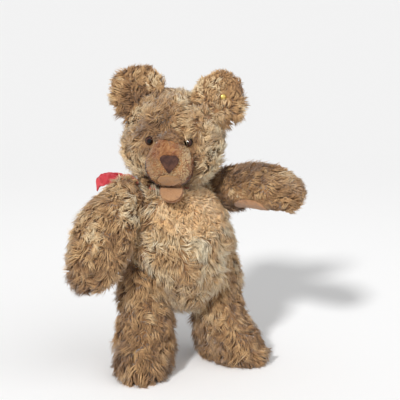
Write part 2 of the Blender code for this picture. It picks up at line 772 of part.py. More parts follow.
def make_jaw(materials):
    above = -GAP - PALATE_THICKNESS - GAP
    jaw = jaw_shape("lower_jaw")
    below_lining = above - JAW_LINING_THICKNESS
    top = slab(mouth_frame(-JAW_SLOPE_DEG), -CUTTER_LENGTH, CUTTER_LENGTH, below_lining, CUTTER_LENGTH)
    combine(jaw, top, "DIFFERENCE")
    finish(jaw, materials["clipped_mohair"])
    lining = jaw_shape("jaw_lining")
    sheet = slab(
        mouth_frame(-JAW_SLOPE_DEG), PALATE_THICKNESS, CUTTER_LENGTH,
        above - JAW_LINING_THICKNESS + GAP, above + GAP,
    )
    combine(lining, sheet, "INTERSECT")
    return finish(lining, materials["peach_felt"])


def nose_outline():
    # Two rounded upper corners and a rounded point below
    half = NOSE_WIDTH / 2
    corners = ((half - NOSE_CORNER, -NOSE_CORNER), (-half + NOSE_CORNER, -NOSE_CORNER))
    point = (0.0, -NOSE_DROP + NOSE_CORNER / 2)
    outline = []
    for (x, y), first, last, radius in (
        (corners[0], -35, 100, NOSE_CORNER),
        (corners[1], 80, 215, NOSE_CORNER),
        (point, 220, 320, NOSE_CORNER / 2),
    ):
        for step in range(6):
            turn = math.radians(first + (last - first) * step / 5)
            outline.append((x + radius * math.cos(turn), y + radius * math.sin(turn)))
    return outline


def make_nose(materials):
    rise = NOSE_HEIGHT + NOSE_DROP / 2 - MUZZLE_HEIGHT
    place = muzzle_frame() @ Matrix.Translation((0, rise, 0))
    nose = muzzle_mesh(GAP + NOSE_THICKNESS, "nose")
    combine(nose, prism(nose_outline(), MUZZLE_REACH / 2, CUTTER_LENGTH, place), "INTERSECT")
    combine(nose, muzzle_mesh(GAP, "inside"), "DIFFERENCE")
    return finish(nose, materials["floss"])


def ear_frame(side):
    out = LEFT_EAR_OUT if side > 0 else RIGHT_EAR_OUT
    up = LEFT_EAR_UP if side > 0 else RIGHT_EAR_UP
    place = Matrix.Translation((side * out, EAR_BACK, up))
    lean = Matrix.Rotation(side * math.radians(EAR_LEAN_DEG), 4, "Y")
    turn = Matrix.Rotation(side * math.radians(LEFT_EAR_TURN_DEG if side > 0 else RIGHT_EAR_TURN_DEG), 4, "Z")
    return neck_frame() @ place @ turn @ lean


def ear_centre_shift(x, z):
    # The cup: the rim stands forward of the middle
    return -EAR_CUP * ((x / EAR_HALF_WIDTH) ** 2 + (z / EAR_HALF_HEIGHT) ** 2)


def make_ear(name, side, materials):
    form = SoftForm(
        -EAR_HALF_HEIGHT, EAR_HALF_HEIGHT, (EAR_HALF_WIDTH,) * 3, (EAR_HALF_THICKNESS,) * 3,
        (0.0,) * 3, (0.0,) * 3, 2.0,
    )
    bm = form.mesh(EAR_SIDES, EAR_RINGS)
    for vert in bm.verts:
        vert.co.y += ear_centre_shift(vert.co.x, vert.co.z)
    ear = mesh_object(name, bm, ear_frame(side))
    combine(ear, mesh_object("inside", head_mesh(GAP), neck_frame()), "DIFFERENCE")
    return finish(ear, materials["mohair"])


def stud_frame():
    front = ear_centre_shift(STUD_ASIDE, STUD_UP) - EAR_HALF_THICKNESS
    place = Matrix.Translation((STUD_ASIDE, front, STUD_UP))
    return ear_frame(1.0) @ place @ Matrix.Rotation(-math.pi / 2, 4, "Z")


def make_stud(ear, materials):
    # Local X out of the ear
    bm = bmesh.new()
    bmesh.ops.create_uvsphere(bm, u_segments=16, v_segments=8, radius=1.0)
    bmesh.ops.bisect_plane(
        bm, geom=bm.verts[:] + bm.edges[:] + bm.faces[:], plane_co=(0, 0, 0), plane_no=(0, 0, 1),
        clear_inner=True,
    )
    bmesh.ops.holes_fill(bm, edges=[e for e in bm.edges if e.is_boundary], sides=0)
    bmesh.ops.scale(bm, vec=(STUD_RADIUS, STUD_RADIUS, STUD_RISE), verts=bm.verts)
    outward = Matrix.Rotation(math.pi / 2, 4, "Y")
    lift = Matrix.Translation((GAP, 0, 0))
    stud = mesh_object("ear_stud", bm, stud_frame() @ lift @ outward)
    shank = cylinder(STUD_SHANK_RADIUS, -STUD_SHANK_LENGTH, 2 * GAP, 8, stud_frame())
    combine(stud, shank, "UNION")
    hole = cylinder(STUD_SHANK_RADIUS + GAP, -STUD_SHANK_LENGTH - GAP, CUTTER_LENGTH / 4, 8, stud_frame())
    combine(ear, hole, "DIFFERENCE")
    seat = cylinder(STUD_RADIUS + GAP, 0.0, CUTTER_LENGTH / 4, 16, stud_frame())
    combine(ear, seat, "DIFFERENCE")
    finish(ear, materials["mohair"])
    return finish(stud, materials["brass"])


def make_head(materials):
    head = mesh_object("head", head_mesh(0.0), neck_frame())
    below = cylinder(CUTTER_LENGTH / 2, -CUTTER_LENGTH, SEAT_GAP / 2, DISC_SIDES, neck_joint_frame())
    combine(head, below, "DIFFERENCE")
    combine(head, pocket(neck_joint_frame(), NECK_DISC_RADIUS, 1), "DIFFERENCE")
    for side, centre, inward in eye_places():
        combine(head, eye_shape("socket", centre, inward, GAP), "DIFFERENCE")
        eye = eye_shape("eye_left" if side > 0 else "eye_right", centre, inward, 0.0)
        finish(eye, materials["glass"])
    finish(head, materials["mohair"])
    make_muzzle(materials)
    make_palate(materials)
    make_jaw(materials)
    make_nose(materials)
    make_ear("ear_right", -1.0, materials)
    ear_left = make_ear("ear_left", 1.0, materials)
    make_stud(ear_left, materials)
    return head


# Limbs

def arm_form():
    return SoftForm(
        -ARM_REACH, ARM_TOP, ARM_HALF_THICKNESSES, ARM_HALF_BREADTHS,
        ARM_OUT_SHIFTS, ARM_BACK_SHIFTS, ARM_BLUNTNESS,
    )


def paw_pad_tool(frame):
    # A pad on the palm, turned from outward towards the back and the body
    place = Matrix.Translation((smooth_value(ARM_OUT_SHIFTS, 0.3), 0, -PAW_PAD_DISTANCE))
    turn = Matrix.Rotation(math.radians(PAW_PAD_TURN_DEG), 4, "Z")
    outward = Matrix.Rotation(math.pi / 2, 4, "Y")
    outline = oval(PAW_PAD_HALF_LENGTH, PAW_PAD_HALF_WIDTH, 20)
    return prism(outline, 0.0, CUTTER_LENGTH, place @ turn @ outward)


def make_arm(side, name, raise_deg, materials):
    frame = shoulder_frame(side, raise_deg)
    arm = mesh_object(f"arm_{name}", arm_form().mesh(LIMB_SIDES, LIMB_RINGS))
    seat = cylinder(CUTTER_LENGTH, -CUTTER_LENGTH, SEAT_GAP / 2, DISC_SIDES)
    combine(arm, boss(Matrix.Identity(4), SHOULDER_DISC_RADIUS, 1), "UNION")
    combine(arm, seat, "DIFFERENCE")
    combine(arm, pocket(Matrix.Identity(4), SHOULDER_DISC_RADIUS, 1), "DIFFERENCE")
    pad = patch_on(
        arm_form(), (LIMB_SIDES, LIMB_RINGS), paw_pad_tool(frame), PAW_PAD_THICKNESS,
        f"paw_pad_{name}",
    )
    for piece in (arm, pad):
        set_in_place(piece, frame, side)
    finish(arm, materials["mohair"])
    finish(pad, materials["felt"])
    joint_set(f"shoulder_{name}", shoulder_frame(side, raise_deg), SHOULDER_DISC_RADIUS, materials)


def set_in_place(piece, frame, side):
    piece.data.transform(frame)
    if side < 0:
        piece.data.flip_normals()


def leg_form():
    return SoftForm(
        -HIP_HEIGHT - LEG_BELOW_FLOOR, LEG_TOP, LEG_HALF_THICKNESSES, LEG_HALF_LENGTHS,
        LEG_OUT_SHIFTS, LEG_FRONT_SHIFTS, LEG_BLUNTNESS,
    )


def make_leg(side, name, materials):
    frame = hip_frame(side)
    leg = mesh_object(f"leg_{name}", leg_form().mesh(LIMB_SIDES, LIMB_RINGS + 2))
    seat = cylinder(CUTTER_LENGTH, -CUTTER_LENGTH, SEAT_GAP / 2, DISC_SIDES)
    combine(leg, boss(Matrix.Identity(4), HIP_DISC_RADIUS, 1), "UNION")
    combine(leg, seat, "DIFFERENCE")
    combine(leg, pocket(Matrix.Identity(4), HIP_DISC_RADIUS, 1), "DIFFERENCE")
    floor = -HIP_HEIGHT + SOLE_THICKNESS + GAP
    everywhere = oval(CUTTER_LENGTH, CUTTER_LENGTH, 12)
    combine(leg, prism(everywhere, floor - CUTTER_LENGTH, floor, Matrix.Identity(4)), "DIFFERENCE")
    sole = mesh_object(f"sole_{name}", leg_form().mesh(LIMB_SIDES, LIMB_RINGS + 2))
    sheet = prism(everywhere, floor - GAP - SOLE_THICKNESS, floor - GAP, Matrix.Identity(4))
    combine(sole, sheet, "INTERSECT")
    for piece in (leg, sole):
        set_in_place(piece, frame, side)
    finish(leg, materials["mohair"])
    finish(sole, materials["felt"], smooth=False)
    joint_set(f"hip_{name}", frame, HIP_DISC_RADIUS, materials)


def stand_on_origin():
    # Moves every piece so that the bear's box is centred on the origin, with its soles at the floor
    bpy.context.view_layer.update()
    low, high = Vector((1, 1, 1)) * 10, Vector((-1, -1, -1)) * 10
    graph = bpy.context.evaluated_depsgraph_get()
    for obj in bpy.data.objects:
        mesh = obj.evaluated_get(graph).to_mesh()
        for vert in mesh.vertices:
            place = obj.matrix_world @ vert.co
            low = Vector(map(min, low, place))
            high = Vector(map(max, high, place))
    centre = (low + high) / 2
    shift = Matrix.Translation((-centre.x, -centre.y, -low.z))
    for obj in bpy.data.objects:
        obj.matrix_world = shift @ obj.matrix_world
    return shift


def main():
    clear_scene()
    materials = make_materials()
    make_torso(materials)
    make_bib(materials)
    make_ribbon(materials)
    make_head(materials)
    joint_set("neck", neck_joint_frame(), NECK_DISC_RADIUS, materials)
    for side, name, raise_deg in (
        (-1.0, "right", RIGHT_ARM_RAISE_DEG),
        (1.0, "left", LEFT_ARM_RAISE_DEG),
    ):
        make_arm(side, name, raise_deg, materials)
        make_leg(side, name, materials)
    return stand_on_origin()


main()
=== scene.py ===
import json
import math

import bmesh
import bpy
import numpy as np
from mathutils import Matrix, Vector
from mathutils.bvhtree import BVHTree

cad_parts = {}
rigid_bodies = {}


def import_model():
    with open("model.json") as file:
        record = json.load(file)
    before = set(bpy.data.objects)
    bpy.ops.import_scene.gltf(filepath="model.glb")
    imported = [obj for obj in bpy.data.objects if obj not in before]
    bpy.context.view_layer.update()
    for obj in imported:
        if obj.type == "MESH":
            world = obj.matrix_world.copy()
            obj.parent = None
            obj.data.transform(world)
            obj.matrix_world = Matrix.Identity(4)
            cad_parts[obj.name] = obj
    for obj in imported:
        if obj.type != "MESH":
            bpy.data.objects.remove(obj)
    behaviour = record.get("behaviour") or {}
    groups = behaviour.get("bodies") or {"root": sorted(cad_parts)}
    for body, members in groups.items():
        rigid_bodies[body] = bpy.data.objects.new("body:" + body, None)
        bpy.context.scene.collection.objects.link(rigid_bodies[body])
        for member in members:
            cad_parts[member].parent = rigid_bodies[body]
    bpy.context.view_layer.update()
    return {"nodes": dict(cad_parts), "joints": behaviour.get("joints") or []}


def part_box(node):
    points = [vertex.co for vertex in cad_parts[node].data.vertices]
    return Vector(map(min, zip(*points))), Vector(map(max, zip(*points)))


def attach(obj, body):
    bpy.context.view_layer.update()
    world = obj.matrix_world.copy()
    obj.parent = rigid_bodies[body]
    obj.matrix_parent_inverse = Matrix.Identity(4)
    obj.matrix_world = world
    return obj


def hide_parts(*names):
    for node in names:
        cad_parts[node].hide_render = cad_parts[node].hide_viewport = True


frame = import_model()
nodes = frame["nodes"]
joints = {joint["name"]: joint for joint in frame["joints"]}

# the head looks back towards the viewer, so its own frame is turned
neckPlace = Vector(joints["neck_turn"]["pos_m"])
faceFrame = (
    Matrix.Translation(neckPlace)
    @ Matrix.Rotation(math.radians(-30), 4, "Z")
    @ Matrix.Rotation(math.radians(1.5), 4, "Y")
)
faceTurn = np.array(faceFrame.to_3x3())
faceBack = np.array(faceFrame.inverted())


# selecting and copying

def pick(*objs):
    bpy.ops.object.select_all(action="DESELECT")
    for obj in objs:
        obj.select_set(True)
    bpy.context.view_layer.objects.active = objs[0]


def copyNode(name, newName):
    source = nodes[name]
    made = bpy.data.objects.new(newName, source.data.copy())
    bpy.context.scene.collection.objects.link(made)
    made.data.materials.clear()
    pick(made)
    bpy.ops.object.mode_set(mode="EDIT")
    bpy.ops.mesh.select_all(action="SELECT")
    bpy.ops.mesh.remove_doubles(threshold=0.00002)
    bpy.ops.mesh.normals_make_consistent(inside=False)
    bpy.ops.object.mode_set(mode="OBJECT")
    return made


def applied(obj, kind, **settings):
    pick(obj)
    change = obj.modifiers.new(kind.lower(), kind)
    for name, value in settings.items():
        setattr(change, name, value)
    bpy.ops.object.modifier_apply(modifier=change.name)


def pointsOf(obj):
    flat = np.empty(len(obj.data.vertices) * 3)
    obj.data.vertices.foreach_get("co", flat)
    return flat.reshape(-1, 3)


def normalsOf(obj):
    flat = np.empty(len(obj.data.vertices) * 3)
    obj.data.vertices.foreach_get("normal", flat)
    return flat.reshape(-1, 3)


def middleOf(name):
    low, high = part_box(name)
    return np.array((low + high) / 2)


def movePoints(obj, points):
    obj.data.vertices.foreach_set("co", np.asarray(points, dtype=float).ravel())
    obj.data.update()


def unit(vectors):
    return vectors / np.maximum(np.linalg.norm(vectors, axis=1, keepdims=True), 1e-9)


# smooth wandering values, from about -1 to 1, the same on every run
def wander(points, size, seed):
    dice = np.random.default_rng(seed)
    total = np.zeros(len(points))
    waveCount, spread = 7, 3.2
    for _ in range(waveCount):
        way = unit(dice.normal(size=(1, 3)))[0]
        rate = dice.uniform(0.6, 1.5)
        start = dice.uniform(0, 6.28)
        total += np.sin(points @ way * (2 * math.pi / size) * rate + start)
    return total / spread


def wanderWay(points, size, seed):
    return np.stack([wander(points, size, seed + step) for step in (0, 100, 200)], axis=1)


def smoothStep(values, low, high):
    share = np.clip((values - low) / (high - low), 0, 1)
    return share * share * (3 - 2 * share)


# shader maths

class Wire:
    def __init__(self, tree, socket):
        self.tree = tree
        self.socket = socket

    def node(self, kind, settings, inputs, out=0):
        made = self.tree.nodes.new("ShaderNode" + kind)
        for name, value in settings.items():
            setattr(made, name, value)
        for name, value in inputs.items():
            if isinstance(value, Wire):
                self.tree.links.new(value.socket, made.inputs[name])
            else:
                made.inputs[name].default_value = value
        return Wire(self.tree, made.outputs[out])

    def maths(self, operation, *values):
        return self.node("Math", {"operation": operation}, dict(enumerate(values)))

    def vector(self, operation, *values, out=0):
        return self.node("VectorMath", {"operation": operation}, dict(enumerate(values)), out)

    def __add__(self, other):
        return self.maths("ADD", self, other)

    def __radd__(self, other):
        return self.maths("ADD", other, self)

    def __mul__(self, other):
        return self.maths("MULTIPLY", self, other)

    def __rmul__(self, other):
        return self.maths("MULTIPLY", other, self)

    def sine(self):
        return self.maths("SINE", self)

    def step(self, low, high):
        settings = {"interpolation_type": "SMOOTHSTEP"}
        return self.node("MapRange", settings, {"Value": self, "From Min": low, "From Max": high})

    def mix(self, first, second):
        return self.node("Mix", {"data_type": "RGBA"}, {0: self, 6: first, 7: second}, 2)

    def noise(self, size, detail=3.0, distortion=0.0):
        inputs = {"Vector": self, "Scale": 1 / size, "Detail": detail, "Distortion": distortion}
        return self.node("TexNoise", {}, inputs)

    def part(self, axis):
        return self.node("SeparateXYZ", {}, {0: self}, axis)

    def bump(self, strength, distance):
        return self.node("Bump", {}, {"Height": self, "Strength": strength, "Distance": distance})


def colour(red, green, blue):
    # from the 0 to 255 values of a screen to linear light
    parts = []
    for value in (red / 255, green / 255, blue / 255):
        parts.append(value / 12.92 if value <= 0.04045 else ((value + 0.055) / 1.055) ** 2.4)
    return (*parts, 1.0)


def newMaterial(name, **fixed):
    made = bpy.data.materials.new(name)
    made.use_nodes = True
    tree = made.node_tree
    shader = tree.nodes["Principled BSDF"]
    for key, value in fixed.items():
        shader.inputs[key.replace("_", " ").title()].default_value = value
    coords = tree.nodes.new("ShaderNodeTexCoord")
    return made, shader, Wire(tree, coords.outputs["Object"])


def feed(wire, shader, name):
    wire.tree.links.new(wire.socket, shader.inputs[name])


# the strand's own colours: across the map is its tone, up the map is from root to tip
def furMaterial(name, roots, tips):
    made, shader, where = newMaterial(name, roughness=0.62, sheen_weight=0.25, sheen_roughness=0.4)
    uv = where.tree.nodes.new("ShaderNodeUVMap")
    uv.uv_map = "OFBake"
    place = Wire(where.tree, uv.outputs["UV"])
    tone, along = place.part(0), place.part(1)
    rootEnds, tipStarts = 0.02, 0.87
    shades = []
    for stops in (roots, tips):
        ramp = where.tree.nodes.new("ShaderNodeValToRGB")
        while len(ramp.color_ramp.elements) < len(stops):
            ramp.color_ramp.elements.new(0.5)
        for step, stop in enumerate(stops):
            ramp.color_ramp.elements[step].position = step / (len(stops) - 1)
            ramp.color_ramp.elements[step].color = colour(*stop)
        where.tree.links.new(tone.socket, ramp.inputs[0])
        shades.append(Wire(where.tree, ramp.outputs[0]))
    feed(along.step(rootEnds, tipStarts).mix(*shades), shader, "Base Color")
    return made


mohairFur = furMaterial(
    "mohair_fur",
    [(110, 80, 53), (148, 109, 72), (178, 138, 92), (196, 166, 124), (186, 168, 138)],
    [(133, 98, 66), (177, 136, 92), (212, 172, 122), (238, 212, 170), (240, 228, 200)],
)
paleFur = furMaterial(
    "pale_fur",
    [(172, 128, 82), (206, 156, 102), (222, 178, 124), (222, 192, 150)],
    [(216, 172, 118), (242, 202, 148), (250, 220, 176), (250, 234, 204)],
)
clippedFur = furMaterial(
    "clipped_fur",
    [(40, 26, 18), (136, 76, 36), (152, 110, 66), (190, 154, 108)],
    [(50, 32, 22), (164, 96, 46), (182, 138, 88), (222, 190, 142)],
)


def backingMaterial(name, base, thread, worn):
    # woven cotton that shows where the pile has gone
    made, shader, where = newMaterial(name, roughness=0.85, sheen_weight=0.2)
    threads = 5200.0  # radians to the metre
    weave = (where.part(0) * threads).sine() * (where.part(2) * threads).sine()
    patches = where.noise(0.014, 4.0)
    fine = where.noise(0.0012, 2.0)
    cloth = (weave * 0.3 + fine).step(0.2, 0.9).mix(base, thread)
    feed(patches.step(0.45, 0.7).mix(cloth, worn), shader, "Base Color")
    feed((weave * 0.4 + fine).bump(0.5, 0.0004), shader, "Normal")
    return made


backing = backingMaterial(
    "mohair_backing", colour(134, 96, 60), colour(162, 122, 80), colour(176, 142, 98)
)
clippedBacking = backingMaterial(
    "clipped_backing", colour(136, 88, 50), colour(158, 108, 64), colour(172, 126, 80)
)
paleBacking = backingMaterial(
    "pale_backing", colour(150, 108, 68), colour(190, 150, 104), colour(200, 168, 124)
)


def feltMaterial(name, base, light, dirt, dirtShare):
    # pressed wool: tangled fibres, rubbed and soiled in patches
    made, shader, where = newMaterial(name, roughness=0.9, sheen_weight=0.35, sheen_roughness=0.5)
    fibres = where.noise(0.0011, 6.0, 1.6)
    patches = where.noise(0.009, 4.0, 0.6)
    wool = fibres.step(0.3, 0.75).mix(base, light)
    feed((patches.step(0.5, 0.75) * dirtShare).mix(wool, dirt), shader, "Base Color")
    feed((fibres + patches * 0.4).bump(0.6, 0.0006), shader, "Normal")
    return made


peachFelt = feltMaterial(
    "peach_felt", colour(162, 116, 76), colour(186, 144, 102), colour(128, 90, 60), 0.7
)
tanFelt = feltMaterial("tan_felt", colour(160, 114, 76), colour(184, 138, 96), colour(120, 84, 58), 0.7)
palateFelt = feltMaterial(
    "palate_felt", colour(166, 116, 62), colour(186, 138, 82), colour(130, 88, 50), 0.5
)


# what lies in the way of a strand or a swelling skin
def makeTree(objs):
    points, faces = [], []
    for obj in objs:
        start = len(points)
        points += [v.co.copy() for v in obj.data.vertices]
        faces += [[start + v for v in face.vertices] for face in obj.data.polygons]
    return BVHTree.FromPolygons(points, faces)


def gapAhead(tree, points, ways, reach):
    # how far each point can go before it meets another piece
    found = np.full(len(points), reach, dtype=float)
    for index in range(len(points)):
        hit = tree.ray_cast(Vector(points[index]), Vector(ways[index]), reach)
        if hit[3] is not None:
            found[index] = hit[3]
    return found


# stuffed skins: remeshed, then swelled by cloth pressure and capped

skinSpecs = {
    "torso": {"body": "torso", "voxel": 0.0050, "cap": 0.0030},
    "head": {"body": "head", "voxel": 0.0046, "cap": 0.0024},
    "arm_left": {"body": "left_arm", "voxel": 0.0044, "cap": 0.0024},
    "arm_right": {"body": "right_arm", "voxel": 0.0044, "cap": 0.0024},
    "leg_left": {"body": "left_leg", "voxel": 0.0046, "cap": 0.0026},
    "leg_right": {"body": "right_leg", "voxel": 0.0046, "cap": 0.0026},
}

# where the stuffing has settled fuller, or is pressed in: place, reach and height
fullPlaces = {
    "arm_right": [((-0.097, 0.018, 0.192), 0.026, 0.0065)],
    "leg_right": [((-0.008, 0.012, 0.058), 0.024, 0.0045), ((-0.012, -0.002, 0.022), 0.032, 0.0060)],
}

# the discs inside each skin, which fill its pockets before the remesh
inside = {
    "torso": [
        "neck_body", "shoulder_left_body", "shoulder_right_body", "hip_left_body", "hip_right_body",
    ],
    "head": ["neck_limb"],
    "arm_left": ["shoulder_left_limb"],
    "arm_right": ["shoulder_right_limb"],
    "leg_left": ["hip_left_limb"],
    "leg_right": ["hip_right_limb"],
}


def cutWith(obj, tool, operation):
    applied(obj, "BOOLEAN", operation=operation, solver="EXACT", object=tool)
    bpy.data.objects.remove(tool)


def plugAt(stem):
    # a solid round the disc and its washer, a little larger than their pocket
    plug = copyNode(stem + "_disc", "plug")
    pick(plug)
    bpy.ops.object.origin_set(type="ORIGIN_GEOMETRY", center="BOUNDS")
    bpy.ops.object.mode_set(mode="EDIT")
    bpy.ops.mesh.select_all(action="SELECT")
    bpy.ops.mesh.convex_hull()
    bpy.ops.object.mode_set(mode="OBJECT")
    plug.scale = (1.12, 1.12, 1.12)
    return plug


def closedSkin(name):
    skin = copyNode(name, name + "_skin")
    for stem in inside[name]:
        cutWith(skin, plugAt(stem), "UNION")
    applied(skin, "REMESH", mode="VOXEL", voxel_size=skinSpecs[name]["voxel"], use_smooth_shade=True)
    # only the outer surface is kept
    bpy.ops.object.mode_set(mode="EDIT")
    bpy.ops.mesh.select_all(action="SELECT")
    bpy.ops.mesh.separate(type="LOOSE")
    bpy.ops.object.mode_set(mode="OBJECT")
    pieces = list(bpy.context.selected_objects)
    keep = max(pieces, key=lambda piece: len(piece.data.vertices))
    keep.name = name + "_skin"
    for piece in pieces:
        if piece != keep:
            bpy.data.objects.remove(piece)
    return keep


skins = {}
for name in skinSpecs:
    skins[name] = closedSkin(name)
print("skins remeshed", {name: len(skin.data.vertices) for name, skin in skins.items()})


# skin may move only where nothing lies on it
rest = {name: pointsOf(skin) for name, skin in skins.items()}
looseness = {}
for name, skin in skins.items():
    others = []
    for other, node in nodes.items():
        if other != name and not other.endswith(("_disc", "_washer", "_pin")):
            others.append(node)
    normals = normalsOf(skin)
    room = gapAhead(makeTree(others), rest[name] + normals * 0.0002, normals, 0.009)
    looseness[name] = smoothStep(room, 0.004, 0.0088)


swellFrames = 20


def swell(skin):
    change = skin.modifiers.new("cloth", "CLOTH")
    settings = change.settings
    settings.quality = 4
    settings.mass = 0.3
    settings.tension_stiffness = 12
    settings.compression_stiffness = 12
    settings.bending_stiffness = 0.6
    settings.use_pressure = True
    settings.uniform_pressure_force = 4.0
    settings.effector_weights.gravity = 0
    change.collision_settings.use_collision = False
    change.point_cache.frame_start = 1
    change.point_cache.frame_end = swellFrames


for skin in skins.values():
    swell(skin)
scene = bpy.context.scene
scene.frame_start = 1
scene.frame_end = swellFrames
for step in range(1, swellFrames + 1):
    scene.frame_set(step)
for skin in skins.values():
    pick(skin)
    bpy.ops.object.modifier_apply(modifier="cloth")
scene.frame_set(1)
print("skins swelled")

for name, skin in skins.items():
    now = pointsOf(skin)
    moved = now - rest[name]
    far = np.linalg.norm(moved, axis=1, keepdims=True)
    cap = skinSpecs[name]["cap"]
    moved *= np.minimum(1, cap / np.maximum(far, 1e-9)) * looseness[name][:, None]
    # old stuffing has settled into soft lumps
    lumps = normalsOf(skin) * wander(rest[name], 0.034, 11)[:, None] * 0.0011
    lumps += normalsOf(skin) * wander(rest[name], 0.015, 12)[:, None] * 0.0005
    for place, reach, height in fullPlaces.get(name, []):
        apart = np.linalg.norm(rest[name] - np.array(place), axis=1)
        lumps += normalsOf(skin) * (height * np.exp(-(apart / reach) ** 2))[:, None]
    movePoints(skin, rest[name] + moved + lumps * looseness[name][:, None])
    applied(skin, "SUBSURF", levels=1)
    skin.data.materials.append(backing)
    bpy.ops.object.shade_smooth()
    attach(skin, skinSpecs[name]["body"])
    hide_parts(name)


# the pins pass through the torso's skin
def bore(skin, joint, radius, length):
    place, axis = Vector(joint["pos_m"]), Vector(joint["axis"])
    bpy.ops.object.select_all(action="DESELECT")
    bpy.ops.mesh.primitive_cylinder_add(vertices=24, radius=radius, depth=length)
    tool = bpy.context.object
    tool.rotation_mode = "QUATERNION"
    tool.rotation_quaternion = axis.to_track_quat("Z", "Y")
    tool.location = place
    cutWith(skin, tool, "DIFFERENCE")


for joint in frame["joints"]:
    bore(skins["torso"], joint, radius=0.0062, length=0.042)


# smaller soft pieces: an even finer skin with worn, uneven faces

softSpecs = {
    "chest_bib": {
        "body": "torso", "voxel": 0.0016, "lump": 0.0004,
        "material": paleBacking, "slot": "pale_mohair",
    },
    "muzzle": {
        "body": "head", "voxel": 0.0017, "lump": 0.0003,
        "material": clippedBacking, "slot": "clipped_mohair",
    },
    "lower_jaw": {
        "body": "head", "voxel": 0.0012, "lump": 0.0002,
        "material": clippedBacking, "slot": "clipped_mohair",
    },
    "ear_left": {
        "body": "head", "voxel": 0.0016, "lump": 0.0008,
        "material": backing, "slot": "mohair",
    },
    "ear_right": {
        "body": "head", "voxel": 0.0016, "lump": 0.0008,
        "material": backing, "slot": "mohair",
    },
    "mouth_palate": {
        "body": "head", "voxel": 0.0008, "lump": 0.00015,
        "material": palateFelt, "slot": "felt",
    },
    "jaw_lining": {
        "body": "head", "voxel": 0.0008, "lump": 0.00015,
        "material": peachFelt, "slot": "peach_felt",
    },
    "paw_pad_left": {
        "body": "left_arm", "voxel": 0.0011, "lump": 0.0003,
        "material": tanFelt, "slot": "felt",
    },
    "paw_pad_right": {
        "body": "right_arm", "voxel": 0.0011, "lump": 0.0003,
        "material": tanFelt, "slot": "felt",
    },
    "sole_left": {
        "body": "left_leg", "voxel": 0.0013, "lump": 0.0003,
        "material": tanFelt, "slot": "felt",
    },
    "sole_right": {
        "body": "right_leg", "voxel": 0.0013, "lump": 0.0003,
        "material": tanFelt, "slot": "felt",
    },
}


def softPiece(name, spec):
    piece = copyNode(name, name + "_cloth")
    applied(piece, "REMESH", mode="VOXEL", voxel_size=spec["voxel"])
    applied(piece, "SMOOTH", factor=0.5, iterations=4)
    points = pointsOf(piece)
    points += normalsOf(piece) * wander(points, 0.011, 31)[:, None] * spec["lump"]
    movePoints(piece, points)
    bpy.ops.object.shade_smooth()
    piece.data.materials.append(spec["material"])
    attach(piece, spec["body"])
    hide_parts(name)
    return piece


softs = {}
for name, spec in softSpecs.items():
    softs[name] = softPiece(name, spec)


# the left ear is bent: its upper corner is drawn to a point, and its rim folds forward
def bendEar(ear):
    across, ahead, up = faceTurn[:, 0], -faceTurn[:, 1], faceTurn[:, 2]
    points = pointsOf(ear)
    offset = points - middleOf("ear_left")
    x, z = offset @ across, offset @ up
    corner = smoothStep(x * 0.55 + z * 0.83, 0.014, 0.028)
    rim = smoothStep(x, 0.012, 0.028)
    points += (across * 0.35 + up * 0.75)[None, :] * (corner * 0.0045)[:, None]
    points += ahead[None, :] * (rim * 0.005 - corner * 0.002)[:, None]
    crease = np.exp(-((x - 0.003 + 0.35 * z) / 0.003) ** 2) * (1 - smoothStep(z, 0.002, 0.012))
    points -= ahead[None, :] * (crease * 0.003)[:, None]
    movePoints(ear, points)


bendEar(softs["ear_left"])
print("soft pieces", {name: len(piece.data.vertices) for name, piece in softs.items()})


# pile: tapered, waved strands that gather into locks

def rootsOn(surface, count, weight, dice):
    mesh = surface.data
    mesh.calc_loop_triangles()
    corners = np.empty(len(mesh.loop_triangles) * 3, dtype=int)
    mesh.loop_triangles.foreach_get("vertices", corners)
    corners = corners.reshape(-1, 3)
    points, normals = pointsOf(surface), normalsOf(surface)
    first, second, third = (points[corners[:, step]] for step in range(3))
    area = np.linalg.norm(np.cross(second - first, third - first), axis=1)
    share = area * weight((first + second + third) / 3)
    chosen = dice.choice(len(area), size=count, p=share / share.sum())
    across = np.sqrt(dice.uniform(size=(count, 1)))
    along = dice.uniform(size=(count, 1))
    mixes = (1 - across, across * (1 - along), across * along)
    roots = sum(mixes[step] * points[corners[chosen, step]] for step in range(3))
    ways = sum(mixes[step] * normals[corners[chosen, step]] for step in range(3))
    return roots, unit(ways)


def nearestLock(roots, locks):
    nearest = np.empty(len(roots), dtype=int)
    for start in range(0, len(roots), 2000):
        part = roots[start:start + 2000]
        apart = ((part[:, None, :] - locks[None, :, :]) ** 2).sum(axis=2)
        nearest[start:start + 2000] = apart.argmin(axis=1)
    return nearest


def everywhere(points):
    return np.ones(len(points))


def nowhere(points):
    return np.zeros(len(points))


# what every pile has unless its own dictionary says otherwise
usualPile = {
    "weight": everywhere,  # where it grows thickest
    "shy": 0.0035,  # the room that a strand needs in front of its root
    "swirl": 0.8,  # how far the combing wanders
    "perLock": 12, "lockTurn": 0.42, "clump": 0.30,
    "lean": 1.2, "hang": 0.15, "bow": 0.30, "curl": 0.0011, "waves": 1.15,
    "shares": (0.0, 0.5, 1.0),  # where along a strand its rings and its tip lie
    "lengthAt": everywhere,
    "tone": 0.46, "toneAt": nowhere, "mottle": 1.0,  # 0 is the darkest colour, 1 the palest
    "material": mohairFur, "slot": "mohair",
}


def leaned(normals, swept, angle):
    return normals * np.cos(angle)[:, None] + swept * np.sin(angle)[:, None]


